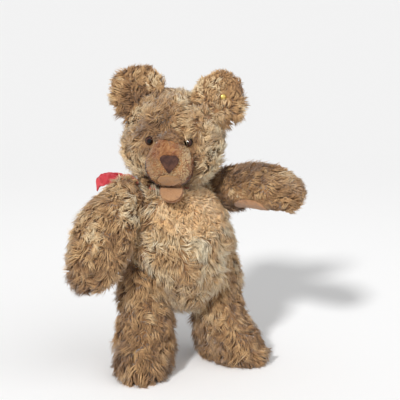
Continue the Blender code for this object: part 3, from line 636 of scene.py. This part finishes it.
def strandPaths(roots, normals, spec, blockers, dice):
    count = len(roots)
    comb = spec["comb"](roots, normals)
    comb = comb + wanderWay(roots, 0.030, spec["seed"] + 5) * spec["swirl"]
    comb = unit(comb - normals * (comb * normals).sum(axis=1, keepdims=True))
    side = np.cross(normals, comb)

    # each lock has its own tone, phase and turn, and its strands share them
    locks = dice.choice(count, size=max(20, count // spec["perLock"]), replace=False)
    mine = locks[nearestLock(roots, roots[locks])]
    lockTone = dice.normal(size=count)[mine]
    lockPhase = dice.uniform(0, 2 * math.pi, size=count)[mine]
    lockTurn = dice.normal(size=count)[mine] * spec["lockTurn"]

    # within its lock a strand differs a little in turn, lean and length
    turn = (lockTurn + dice.normal(size=count) * 0.11)[:, None]
    swept = comb * np.cos(turn) + side * np.sin(turn)
    aside = np.cross(normals, swept)
    lean = np.clip(spec["lean"] + dice.normal(size=count) * 0.16 + lockTone * 0.07, 0.2, 1.45)
    atRoot = leaned(normals, swept, lean * 0.55)
    atTip = leaned(normals, swept, lean * 1.22)
    atTip[:, 2] -= spec["hang"]

    length = spec["length"] * np.exp(dice.normal(size=count) * 0.16) * (1 + 0.14 * lockTone)
    length *= spec["lengthAt"](roots)
    ahead = gapAhead(blockers, roots + normals * 0.0008, unit(atRoot + atTip), spec["length"] * 1.5)
    shortest = 0.0025
    length = np.minimum(length, np.maximum(ahead * 0.92, shortest))

    phase = lockPhase + dice.normal(size=count) * 0.25
    waves = spec["waves"] * (1 + 0.15 * dice.normal(size=count))
    swing = spec["curl"] * (length / spec["length"])
    bow = dice.normal(size=count)[mine] * spec["bow"]
    sunk, floorTop = 0.0009, 0.0004
    # the way turns evenly from root to tip, bowed to one side and waved
    path = []
    for share in spec["shares"]:
        reach = atRoot * share + (atTip - atRoot) * share ** 2 / 2
        spot = roots - normals * sunk + length[:, None] * reach
        spot += aside * (bow * length * share ** 2)[:, None]
        angle = 2 * math.pi * waves * share + phase
        curl = aside * np.sin(angle)[:, None] + normals * np.cos(angle)[:, None] * 0.35
        spot += curl * (swing * share ** 0.8)[:, None]
        spot[:, 2] = np.maximum(spot[:, 2], floorTop)  # the pile lies flat on the floor
        path.append(spot)
    # towards its tip a strand draws in to the strand that leads its lock
    for step, share in enumerate(spec["shares"]):
        path[step] = path[step] + (path[step][mine] - path[step]) * (spec["clump"] * share ** 1.4)
    return path, aside, lockTone


def strandMesh(name, path, normals, aside, width, middle):
    # a strand has two three-sided rings and a point, and its foot is closed
    count = len(width)
    rings = []
    for step, girth in enumerate((1.0, 0.92)):
        run = unit(path[step + 1] - path[0])
        flat = unit(np.cross(run, normals) + aside * 0.05)
        over = np.cross(flat, run)
        for corner in range(3):
            angle = corner * 2 * math.pi / 3 + 0.5
            out = flat * math.cos(angle) + over * math.sin(angle) * 0.7
            rings.append(path[step] + out * (width * girth / 2)[:, None])
    points = np.stack(rings + [path[2]], axis=1).reshape(-1, 3)

    faces, across, up = [], [], []
    for corner in range(3):
        after = (corner + 1) % 3
        faces.append((corner, after, 3 + after, 3 + corner))
        across += [corner, corner + 1, corner + 1, corner]
        up += [0.0, 0.0, middle, middle]
    for corner in range(3):
        faces.append((3 + corner, 3 + (corner + 1) % 3, 6))
        across += [corner, corner + 1, corner + 0.5]
        up += [middle, middle, 1.0]
    faces.append((2, 1, 0))
    across += [0, 1, 2]
    up += [0.0, 0.02, 0.0]

    loop = np.array([v for face in faces for v in face])
    sizes = np.array([len(face) for face in faces])
    starts = np.concatenate([[0], np.cumsum(sizes)[:-1]])
    strands = np.arange(count)[:, None]
    mesh = bpy.data.meshes.new(name)
    mesh.vertices.add(len(points))
    mesh.vertices.foreach_set("co", points.ravel())
    mesh.loops.add(count * len(loop))
    mesh.loops.foreach_set("vertex_index", (strands * 7 + loop[None, :]).ravel().astype(np.int32))
    mesh.polygons.add(count * len(sizes))
    mesh.polygons.foreach_set("loop_start", (strands * len(loop) + starts).ravel().astype(np.int32))
    mesh.update(calc_edges=True)
    return mesh, np.array(across), np.array(up)


def strandTones(roots, lockTone, spec, dice):
    # faded and soiled patches, then the lock, then the strand
    seed = spec["seed"]
    patch = wander(roots, 0.045, seed + 7) * 0.20 + wander(roots, 0.016, seed + 8) * 0.18
    grain = lockTone * 0.080 + dice.normal(size=len(roots)) * 0.045
    tone = spec["tone"] + (patch + grain) * spec["mottle"] + spec["toneAt"](roots)
    tone = np.clip(tone, 0.02, 0.95)
    # four strands take the two ends of the range
    tone[dice.choice(len(roots), size=4, replace=False)] = (0.01, 0.02, 0.95, 0.96)
    return tone


def growPile(name, surface, own, blockers):
    spec = {**usualPile, **own}
    dice = np.random.default_rng(spec["seed"])
    spare = 1.5  # some roots fall where there is no room
    roots, normals = rootsOn(surface, int(spec["count"] * spare), spec["weight"], dice)
    keep = gapAhead(blockers, roots + normals * 0.0006, normals, 0.008) > spec["shy"]
    roots, normals = roots[keep][:spec["count"]], normals[keep][:spec["count"]]

    path, aside, lockTone = strandPaths(roots, normals, spec, blockers, dice)
    width = spec["width"] * np.exp(dice.normal(size=len(roots)) * 0.15)
    mesh, across, up = strandMesh(name, path, normals, aside, width, spec["shares"][1])
    tone = strandTones(roots, lockTone, spec, dice)
    layout = mesh.uv_layers.new(name="OFBake")
    places = np.empty((len(roots), len(up), 2))
    sideStep = 0.012  # a strand's three sides differ a little in tone
    places[:, :, 0] = tone[:, None] + across[None, :] * sideStep
    places[:, :, 1] = up[None, :]
    layout.data.foreach_set("uv", places.ravel())
    mesh.validate()
    mesh.shade_smooth()

    made = bpy.data.objects.new(name, mesh)
    bpy.context.scene.collection.objects.link(made)
    mesh.materials.append(spec["material"])
    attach(made, spec["body"])


def towards(x, y, z):
    way = np.array([x, y, z], dtype=float)
    return lambda roots, normals: np.tile(way, (len(roots), 1))


def inFace(points):
    # in the head's own frame: x to its left, y backwards and z up
    return np.c_[points, np.ones(len(points))] @ faceBack.T[:, :3]


def fromEye(local, side):
    return np.linalg.norm(local - np.array([side * 0.022, -0.047, 0.0525]), axis=1)


def awayFromFace(roots, normals):
    # the head's pile runs out from the muzzle, up the brow and down the cheeks
    local = inFace(roots)
    out = np.stack([local[:, 0], np.full(len(local), 0.030), local[:, 2] - 0.040], axis=1)
    out[:, 2] *= 0.8
    low = 1 - smoothStep(local[:, 2], 0.008, 0.026)
    out[:, 2] -= 0.06 * low
    # the brow falls over the top of the muzzle
    brow = 1 - smoothStep(np.abs(local[:, 0]), 0.012, 0.020)
    brow *= 1 - smoothStep(local[:, 2], 0.068, 0.078)
    out[:, 2] -= 0.09 * brow * (local[:, 2] > 0.055)
    return out @ faceTurn.T


def alongLimb(start, end):
    way = Vector(end) - Vector(start)
    return towards(*way.normalized())


def headLength(points):
    # short round the eyes and muzzle, full on the crown and cheeks
    local = inFace(points)
    toMuzzle = np.linalg.norm((local - np.array([0, -0.05, 0.036])) / np.array([1, 1.4, 1]), axis=1)
    share = 0.5 + 0.5 * smoothStep(toMuzzle, 0.018, 0.040)
    # the low cheeks hang full beside the chin
    outer = smoothStep(np.abs(local[:, 0]), 0.018, 0.034)
    share *= 1 + 0.45 * outer * (1 - smoothStep(local[:, 2], 0.018, 0.040))
    for side, reach in ((-1, 0.0135), (1, 0.0130)):
        share *= 0.20 + 0.80 * smoothStep(fromEye(local, side), 0.0060, reach)
    return share


muzzleLocal = inFace(pointsOf(softs["muzzle"]))
muzzleSpan = (muzzleLocal.min(axis=0), muzzleLocal.max(axis=0))


def fromMuzzle(points):
    # 1 on the outline that the muzzle has from the front
    low, high = muzzleSpan
    out = (inFace(points) - (low + high) / 2) / ((high - low) / 2)
    return np.hypot(out[:, 0], out[:, 2])


def headTone(points):
    # dusty and paler low on the cheeks; painted light over the head's left side, cheek and brow, which lie
    # in shade; a darker, rustier patch above each eye; painted shade in a ring round each eye, where its
    # socket is shadowed
    local = inFace(points)
    tone = 0.10 * (1 - smoothStep(local[:, 2], 0.020, 0.050))
    # painted light: the head's left side is painted paler, against the shade it lies in
    tone += 0.26 * smoothStep(local[:, 0], -0.010, 0.040)
    for side in (-1, 1):
        offset = (local - np.array([side * 0.024, -0.046, 0.060])) / np.array([1, 1, 0.8])
        tone -= 0.22 * (1 - smoothStep(np.linalg.norm(offset, axis=1), 0.006, 0.016))
        # painted shade in a ring round each eye, where its socket is shadowed
        tone -= 0.45 * (1 - smoothStep(fromEye(local, side), 0.005, 0.011))
    # painted shade: a dark line in the crease round the muzzle, where it is sewn in
    return tone - 0.40 * (1 - smoothStep(fromMuzzle(points), 1.03, 1.16))


def chestComb(roots, normals):
    # down the belly, and up over the ribbon at the collar
    way = np.tile(np.array([0.1, -0.1, -1.0]), (len(roots), 1))
    low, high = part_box("chest_bib")
    collar = smoothStep(roots[:, 2], high[2] - 0.013, high[2] - 0.004)[:, None]
    upward = unit(normals * np.array([1, 1, 0])) + np.array([0, 0, 1.6])
    return way * (1 - collar) + upward * collar


def torsoLength(points):
    # fuller beside the neck, where the collar stands up behind the shoulder
    apart = np.linalg.norm(points - np.array([-0.034, 0.002, 0.208]), axis=1)
    return 1 + 0.7 * (1 - smoothStep(apart, 0.012, 0.026))


def bellyTone(points):
    return 0.10 + 0.05 * smoothStep(points[:, 2], 0.11, 0.15)


def onBrow(points):
    # above an arch over the bridge that comes down inside each eye
    local = inFace(points)
    arch = local[:, 2] + 27 * local[:, 0] ** 2
    return smoothStep(arch, 0.0565, 0.0590) * (local[:, 2] > 0.040)


def browComb(roots, normals):
    local = inFace(roots)
    out = np.stack([local[:, 0] * 2.2, np.full(len(local), 0.010), np.full(len(local), 0.018)], axis=1)
    return out @ faceTurn.T


def muzzleTone(points):
    # rusty along the bridge and paler on the cheeks of the muzzle; painted light on its left side and
    # painted shade on its right, painted shade along its seam and towards its bottom
    local = inFace(points)
    bridge = smoothStep(local[:, 2], 0.032, 0.044)
    bridge *= 1 - smoothStep(np.abs(local[:, 0]), 0.010, 0.021)
    # painted shade in the crease along the muzzle's seam
    seamShade = smoothStep(fromMuzzle(points), 0.86, 0.97)
    # painted shade towards the bottom of the muzzle
    low = 1 - smoothStep(local[:, 2], 0.004, 0.020)
    # painted light on the muzzle's left side, painted shade on its right
    lit = 0.34 * smoothStep(local[:, 0], -0.014, 0.014) - 0.12
    return 0.34 + (lit - 0.85 * seamShade) * (1 - bridge) - 0.42 * bridge - 0.10 * low


def earComb(name):
    # out from the root of the ear towards its rim
    centre = middleOf(name) - np.array([0, 0, 0.016])
    return lambda roots, normals: unit(roots - centre) + np.array([0, 0, 0.15])


def earTone(points):
    # painted shade: the hollow of the ear is painted darker than its rim
    centre = middleOf("ear_right") - np.array([-0.002, 0, 0.006])
    apart = np.linalg.norm(points - centre, axis=1)
    return 0.10 - 0.26 * (1 - smoothStep(apart, 0.008, 0.020))


def earLength(points):
    # the stud sits in a parting, and the pile hangs long from the lower rim
    apart = np.linalg.norm(points - middleOf("ear_stud"), axis=1)
    low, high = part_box("ear_left")
    height = (points[:, 2] - low[2]) / (high[2] - low[2])
    parting = 0.25 + 0.75 * smoothStep(apart, 0.005, 0.011)
    return parting * (1.5 - 0.8 * smoothStep(height, 0.15, 0.75))


def leftArmLength(points):
    # short beside the felt pad
    low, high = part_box("paw_pad_left")
    beside = np.maximum(np.maximum(np.array(low) - points, points - np.array(high)), 0)
    tip = smoothStep(points[:, 0], 0.100, 0.125)
    return 0.30 + (0.70 - 0.25 * tip) * smoothStep(np.linalg.norm(beside, axis=1), 0.002, 0.011)


def leftArmTone(points):
    return 0.24 * smoothStep(points[:, 0], 0.085, 0.115)


def rightArmTone(points):
    return 0.16 * smoothStep(points[:, 2], 0.145, 0.185)


ribbonTree = makeTree([nodes["neck_ribbon"]])


def rightArmLength(points):
    # pressed flat under the ribbon's loop
    near = np.array([ribbonTree.find_nearest(Vector(point))[3] for point in points])
    return 0.45 + 0.65 * smoothStep(near, 0.003, 0.018)


def legTone(points):
    # soiled and grey round the hips, rusty at the ankles
    return 0.20 * smoothStep(points[:, 2], 0.06, 0.11) - 0.22


def legLength(points):
    # full over the feet, and where the hip meets the belly
    foot = 1 - smoothStep(points[:, 2], 0.030, 0.070)
    hip = smoothStep(points[:, 2], 0.085, 0.110)
    toes = smoothStep(-points[:, 1], 0.055, 0.080)
    return (1 + 0.3 * foot + 0.4 * hip) * (1 - 0.5 * toes)


blockers = makeTree(list(skins.values()) + list(softs.values()) + [
    nodes[name] for name in ("eye_left", "eye_right", "ear_stud", "nose")
])

pileSpecs = {
    "torso": {
        "body": "torso", "seed": 101, "count": 14000, "length": 0.0150, "width": 0.001143,
        "comb": chestComb, "swirl": 0.9, "lengthAt": torsoLength, "toneAt": bellyTone,
    },
    "head": {
        "body": "head", "seed": 102, "count": 15000, "length": 0.0135, "width": 0.0011176,
        "comb": awayFromFace, "swirl": 0.5, "hang": 0.10, "lengthAt": headLength,
        "tone": 0.41, "toneAt": headTone,
    },
    "arm_left": {
        "body": "left_arm", "seed": 103, "count": 7500, "length": 0.0130, "width": 0.0011176,
        "comb": alongLimb((0.048, 0.016, 0.20), (0.12, -0.07, 0.20)), "swirl": 0.7, "hang": 0.0,
        "lengthAt": leftArmLength, "tone": 0.15, "toneAt": leftArmTone,
    },
    "arm_right": {
        "body": "right_arm", "seed": 104, "count": 8000, "length": 0.0135, "width": 0.0011176,
        "comb": alongLimb((-0.036, 0.016, 0.20), (-0.10, -0.01, 0.12)), "swirl": 0.9, "hang": 0.05,
        "lengthAt": rightArmLength, "tone": 0.37, "toneAt": rightArmTone,
    },
    "leg_left": {
        "body": "left_leg", "seed": 105, "count": 8000, "length": 0.0135, "width": 0.0011176,
        "comb": towards(0.25, -0.3, -0.8), "swirl": 0.7, "lengthAt": legLength, "toneAt": legTone,
    },
    "leg_right": {
        "body": "right_leg", "seed": 106, "count": 8000, "length": 0.0135, "width": 0.0011176,
        "comb": towards(-0.1, -0.3, -0.9), "swirl": 0.7, "lean": 1.05,
        "lengthAt": legLength, "toneAt": legTone,
    },
    "ear_left": {
        "body": "head", "seed": 107, "count": 3400, "length": 0.0110, "width": 0.0011684,
        "comb": earComb("ear_left"), "swirl": 0.6, "shy": 0.001, "lengthAt": earLength, "tone": 0.44,
    },
    "ear_right": {
        "body": "head", "seed": 108, "count": 3400, "length": 0.0110, "width": 0.0011684,
        "comb": earComb("ear_right"), "swirl": 0.6, "shy": 0.001, "tone": 0.12, "toneAt": earTone,
    },
    "chest_bib": {
        "body": "torso", "seed": 109, "count": 4400, "length": 0.0100, "width": 0.0011176,
        "comb": chestComb, "swirl": 0.6, "curl": 0.0008, "clump": 0.2, "shy": 0.002, "mottle": 0.7,
        "material": paleFur, "slot": "pale_mohair",
    },
    "muzzle": {
        "body": "head", "seed": 110, "count": 4000, "length": 0.0034, "width": 0.001016,
        "comb": awayFromFace, "swirl": 0.3, "curl": 0.0002, "clump": 0.2, "bow": 0.1, "lean": 0.95,
        "shy": 0.0015, "shares": (0.0, 0.6, 1.0), "mottle": 0.4, "toneAt": muzzleTone,
        "material": clippedFur, "slot": "clipped_mohair",
    },
    "lower_jaw": {
        "body": "head", "seed": 111, "count": 700, "length": 0.0026, "width": 0.000762,
        "comb": towards(0, -0.1, -1), "swirl": 0.3, "curl": 0.0002, "clump": 0.2, "bow": 0.1,
        "shy": 0.001, "shares": (0.0, 0.6, 1.0),
        "material": clippedFur, "slot": "clipped_mohair",
    },
    # the brow's pile closes over the top of the muzzle
    "brow": {
        "on": "muzzle", "body": "head", "seed": 112, "count": 2000, "length": 0.0105,
        "width": 0.0010795, "comb": browComb, "swirl": 0.5, "weight": onBrow, "shy": 0.001,
        "lean": 1.15, "hang": 0.0, "lengthAt": headLength, "tone": 0.40, "toneAt": headTone,
    },
}

surfaces = {**skins, **softs}
for name, spec in pileSpecs.items():
    growPile(name + "_pile", surfaces[spec.get("on", name)], spec, blockers)
print("pile grown")


# eyes, nose, stud, ribbon and the hidden joints

def glassMaterial(name, node):
    # dark brown glass with a black pupil, set by how far a point lies from the eye's front
    made, shader, where = newMaterial(name, roughness=0.06)
    shader.inputs["Specular IOR Level"].default_value = 0.3
    local = faceFrame.inverted() @ Vector(middleOf(node))
    front = faceFrame @ Vector((local.x, -0.0512, 0.0525))
    away = where.vector("DISTANCE", where, tuple(front), out=1)
    iris = away.step(0.0034, 0.0060).mix(colour(70, 38, 26), colour(30, 16, 12))
    feed(away.step(0.0026, 0.0031).mix(colour(5, 4, 4), iris), shader, "Base Color")
    return made


for side in ("left", "right"):
    eye = nodes["eye_" + side]
    eye.data.materials.clear()
    eye.data.materials.append(glassMaterial("glass_" + side, "eye_" + side))


def flossMaterial():
    made, shader, where = newMaterial("nose_floss", roughness=0.6)
    shader.inputs["Specular IOR Level"].default_value = 0.25
    twist = where.noise(0.0007, 3.0, 0.8)
    soil = where.noise(0.005, 3.0)
    feed(soil.step(0.35, 0.7).mix(colour(58, 34, 26), colour(92, 60, 46)), shader, "Base Color")
    feed(twist.bump(0.5, 0.0002), shader, "Normal")
    return made


# satin stitches lie side by side, and close in on the nose's point
nose = copyNode("nose", "nose_stitches")
applied(nose, "REMESH", mode="VOXEL", voxel_size=0.0006)
local = inFace(pointsOf(nose))
height = (local[:, 2] - local[:, 2].min()) / np.ptp(local[:, 2])
across = faceTurn[:, 0]
full = 0.12 * np.sin(math.pi * np.clip(height, 0, 1)) - 0.08 * smoothStep(height, 0.75, 1.0)
movePoints(nose, pointsOf(nose) + across * (local[:, 0] * full)[:, None])  # fuller at its sides
stitch, stitchHeight = 0.0016, 0.0007
narrowing = 1 + 0.5 * smoothStep(-local[:, 2], -0.045, -0.022)
ridge = np.abs(np.sin(local[:, 0] * math.pi / stitch * narrowing))
movePoints(nose, pointsOf(nose) + normalsOf(nose) * ((ridge - 0.6) * stitchHeight)[:, None])
bpy.ops.object.shade_smooth()
nose.data.materials.append(flossMaterial())
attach(nose, "head")
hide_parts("nose")


def metalMaterial(name, base, roughness, scale):
    made, shader, where = newMaterial(name, metallic=1.0, roughness=roughness)
    marks = where.noise(scale, 4.0)
    dark = tuple(part * 0.62 for part in base[:3]) + (1.0,)
    feed(marks.step(0.45, 0.75).mix(base, dark), shader, "Base Color")
    feed(marks.bump(0.15, 0.0001), shader, "Normal")
    return made


def boardMaterial():
    made, shader, where = newMaterial("pressed_board", roughness=0.8)
    fibres = where.noise(0.0016, 5.0, 0.7)
    feed(fibres.step(0.3, 0.7).mix(colour(112, 84, 58), colour(146, 114, 80)), shader, "Base Color")
    feed(fibres.bump(0.4, 0.0002), shader, "Normal")
    return made


def ribbonMaterial():
    # old taffeta: fine ribs across, faded along its folds
    made, shader, where = newMaterial("ribbon_cloth", roughness=0.5, sheen_weight=0.4, sheen_roughness=0.3)
    ribs = (where.part(2) * 9000.0).sine()
    fade = where.noise(0.012, 4.0, 0.5)
    feed(fade.step(0.35, 0.7).mix(colour(182, 34, 48), colour(210, 66, 74)), shader, "Base Color")
    feed((ribs * 0.3 + fade).bump(0.35, 0.0004), shader, "Normal")
    return made


brass = metalMaterial("stud_metal", colour(210, 184, 104), 0.38, 0.002)
steel = metalMaterial("pin_steel", colour(150, 146, 140), 0.42, 0.003)
board = boardMaterial()
for name, node in nodes.items():
    finish = None
    if name == "ear_stud":
        finish = brass
    elif name.endswith("_disc"):
        finish = board
    elif name.endswith(("_washer", "_pin")):
        finish = steel
    if finish:
        node.data.materials.clear()
        node.data.materials.append(finish)

ribbon = copyNode("neck_ribbon", "ribbon_cloth")
applied(ribbon, "REMESH", mode="VOXEL", voxel_size=0.0010)
applied(ribbon, "SMOOTH", factor=0.5, iterations=3)
points = pointsOf(ribbon)
# the band is drawn into a cord under the chin, and lies flat behind
fromNeck = points - np.array(neckPlace)
around = np.arctan2(fromNeck[:, 0], -fromNeck[:, 1])
bow = smoothStep(np.linalg.norm(fromNeck[:, :2], axis=1), 0.034, 0.046)
front = (1 - smoothStep(np.abs(around), 1.3, 2.0)) * (1 - bow)
middle = neckPlace.z - 0.0045
points[:, 2] += (middle - points[:, 2]) * 0.55 * front
points[:, 2] -= 0.0040 * bow
points += wanderWay(points, 0.016, 41) * (0.0004 + 0.0008 * bow)[:, None]
movePoints(ribbon, points)
bpy.ops.object.shade_smooth()
ribbon.data.materials.append(ribbonMaterial())
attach(ribbon, "torso")
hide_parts("neck_ribbon")
bm = bmesh.new()
bm.from_mesh(ribbon.data)
clothArea = sum(face.calc_area() for face in bm.faces) / 2
bm.free()
clothWidth = 0.020
clothArea / clothWidth
print("details done")


# floor, light and camera

def floorMaterial():
    made, shader, where = newMaterial("pale_floor", roughness=0.9)
    away = where.vector("LENGTH", where, out=1)
    # painted light: the floor is painted paler near the bear and darker far off, like a pool of light
    feed(away.step(0.2, 1.4).mix(colour(250, 250, 250), colour(240, 240, 240)), shader, "Base Color")
    shader.inputs["Specular IOR Level"].default_value = 0.0
    return made


bpy.ops.object.select_all(action="DESELECT")
bpy.ops.mesh.primitive_plane_add(size=60, location=(0, 0, 0))
floor = bpy.context.object
floor.name = "floor"
floor.data.materials.append(floorMaterial())

world = bpy.data.worlds.new("studio")
bpy.context.scene.world = world
world.use_nodes = True
tree = world.node_tree
soft = tree.nodes["Background"]
soft.inputs["Color"].default_value = (1, 1, 1, 1)
soft.inputs["Strength"].default_value = 0.40
white = tree.nodes.new("ShaderNodeBackground")
white.inputs["Color"].default_value = (0.9, 0.9, 0.9, 1)
# white wherever it is seen, mirrored or looked at through glass, and soft as light
rays = tree.nodes.new("ShaderNodeLightPath")
seen = Wire(tree, rays.outputs["Is Camera Ray"])
for kind in ("Is Glossy Ray", "Is Transmission Ray"):
    seen = seen.maths("MAXIMUM", seen, Wire(tree, rays.outputs[kind]))
chosen = tree.nodes.new("ShaderNodeMixShader")
tree.links.new(seen.socket, chosen.inputs[0])
tree.links.new(soft.outputs[0], chosen.inputs[1])
tree.links.new(white.outputs[0], chosen.inputs[2])
tree.links.new(chosen.outputs[0], tree.nodes["World Output"].inputs["Surface"])


def addSun(name, energy, spread, way):
    light = bpy.data.lights.new(name, "SUN")
    light.energy = energy
    light.angle = math.radians(spread)
    made = bpy.data.objects.new(name, light)
    bpy.context.scene.collection.objects.link(made)
    made.rotation_mode = "QUATERNION"
    made.rotation_quaternion = Vector(way).to_track_quat("-Z", "Y")


addSun("key", 2.55, 7, (0.600, 0.567, -0.564))
addSun("fill", 0.95, 80, (-0.45, 0.80, -0.60))  # broad and weak, from the viewer's right

# the photo is taken from 25 degrees to the bear's right and 12 above
azimuth, elevation = math.radians(-25), math.radians(12)
distance, viewWidth = 1.3, 0.46
level = math.cos(elevation)
back = Vector((math.sin(azimuth) * level, -math.cos(azimuth) * level, math.sin(elevation)))
target = Vector((0.0264552, -0.012264, 0.2018))
lens = bpy.data.cameras.new("camera")
lens.sensor_width = 36
lens.lens = lens.sensor_width / viewWidth * distance
lens.clip_end = 100
camera = bpy.data.objects.new("camera", lens)
bpy.context.scene.collection.objects.link(camera)
camera.location = target + back * distance
camera.rotation_mode = "QUATERNION"
camera.rotation_quaternion = (-back).to_track_quat("-Z", "Y")
bpy.context.scene.camera = camera
bpy.context.scene.view_settings.view_transform = "Standard"

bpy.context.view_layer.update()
triangles = 0
for obj in bpy.data.objects:
    if obj.type == "MESH" and not obj.hide_render:
        triangles += sum(len(face.vertices) - 2 for face in obj.data.polygons)
print("triangles", triangles)
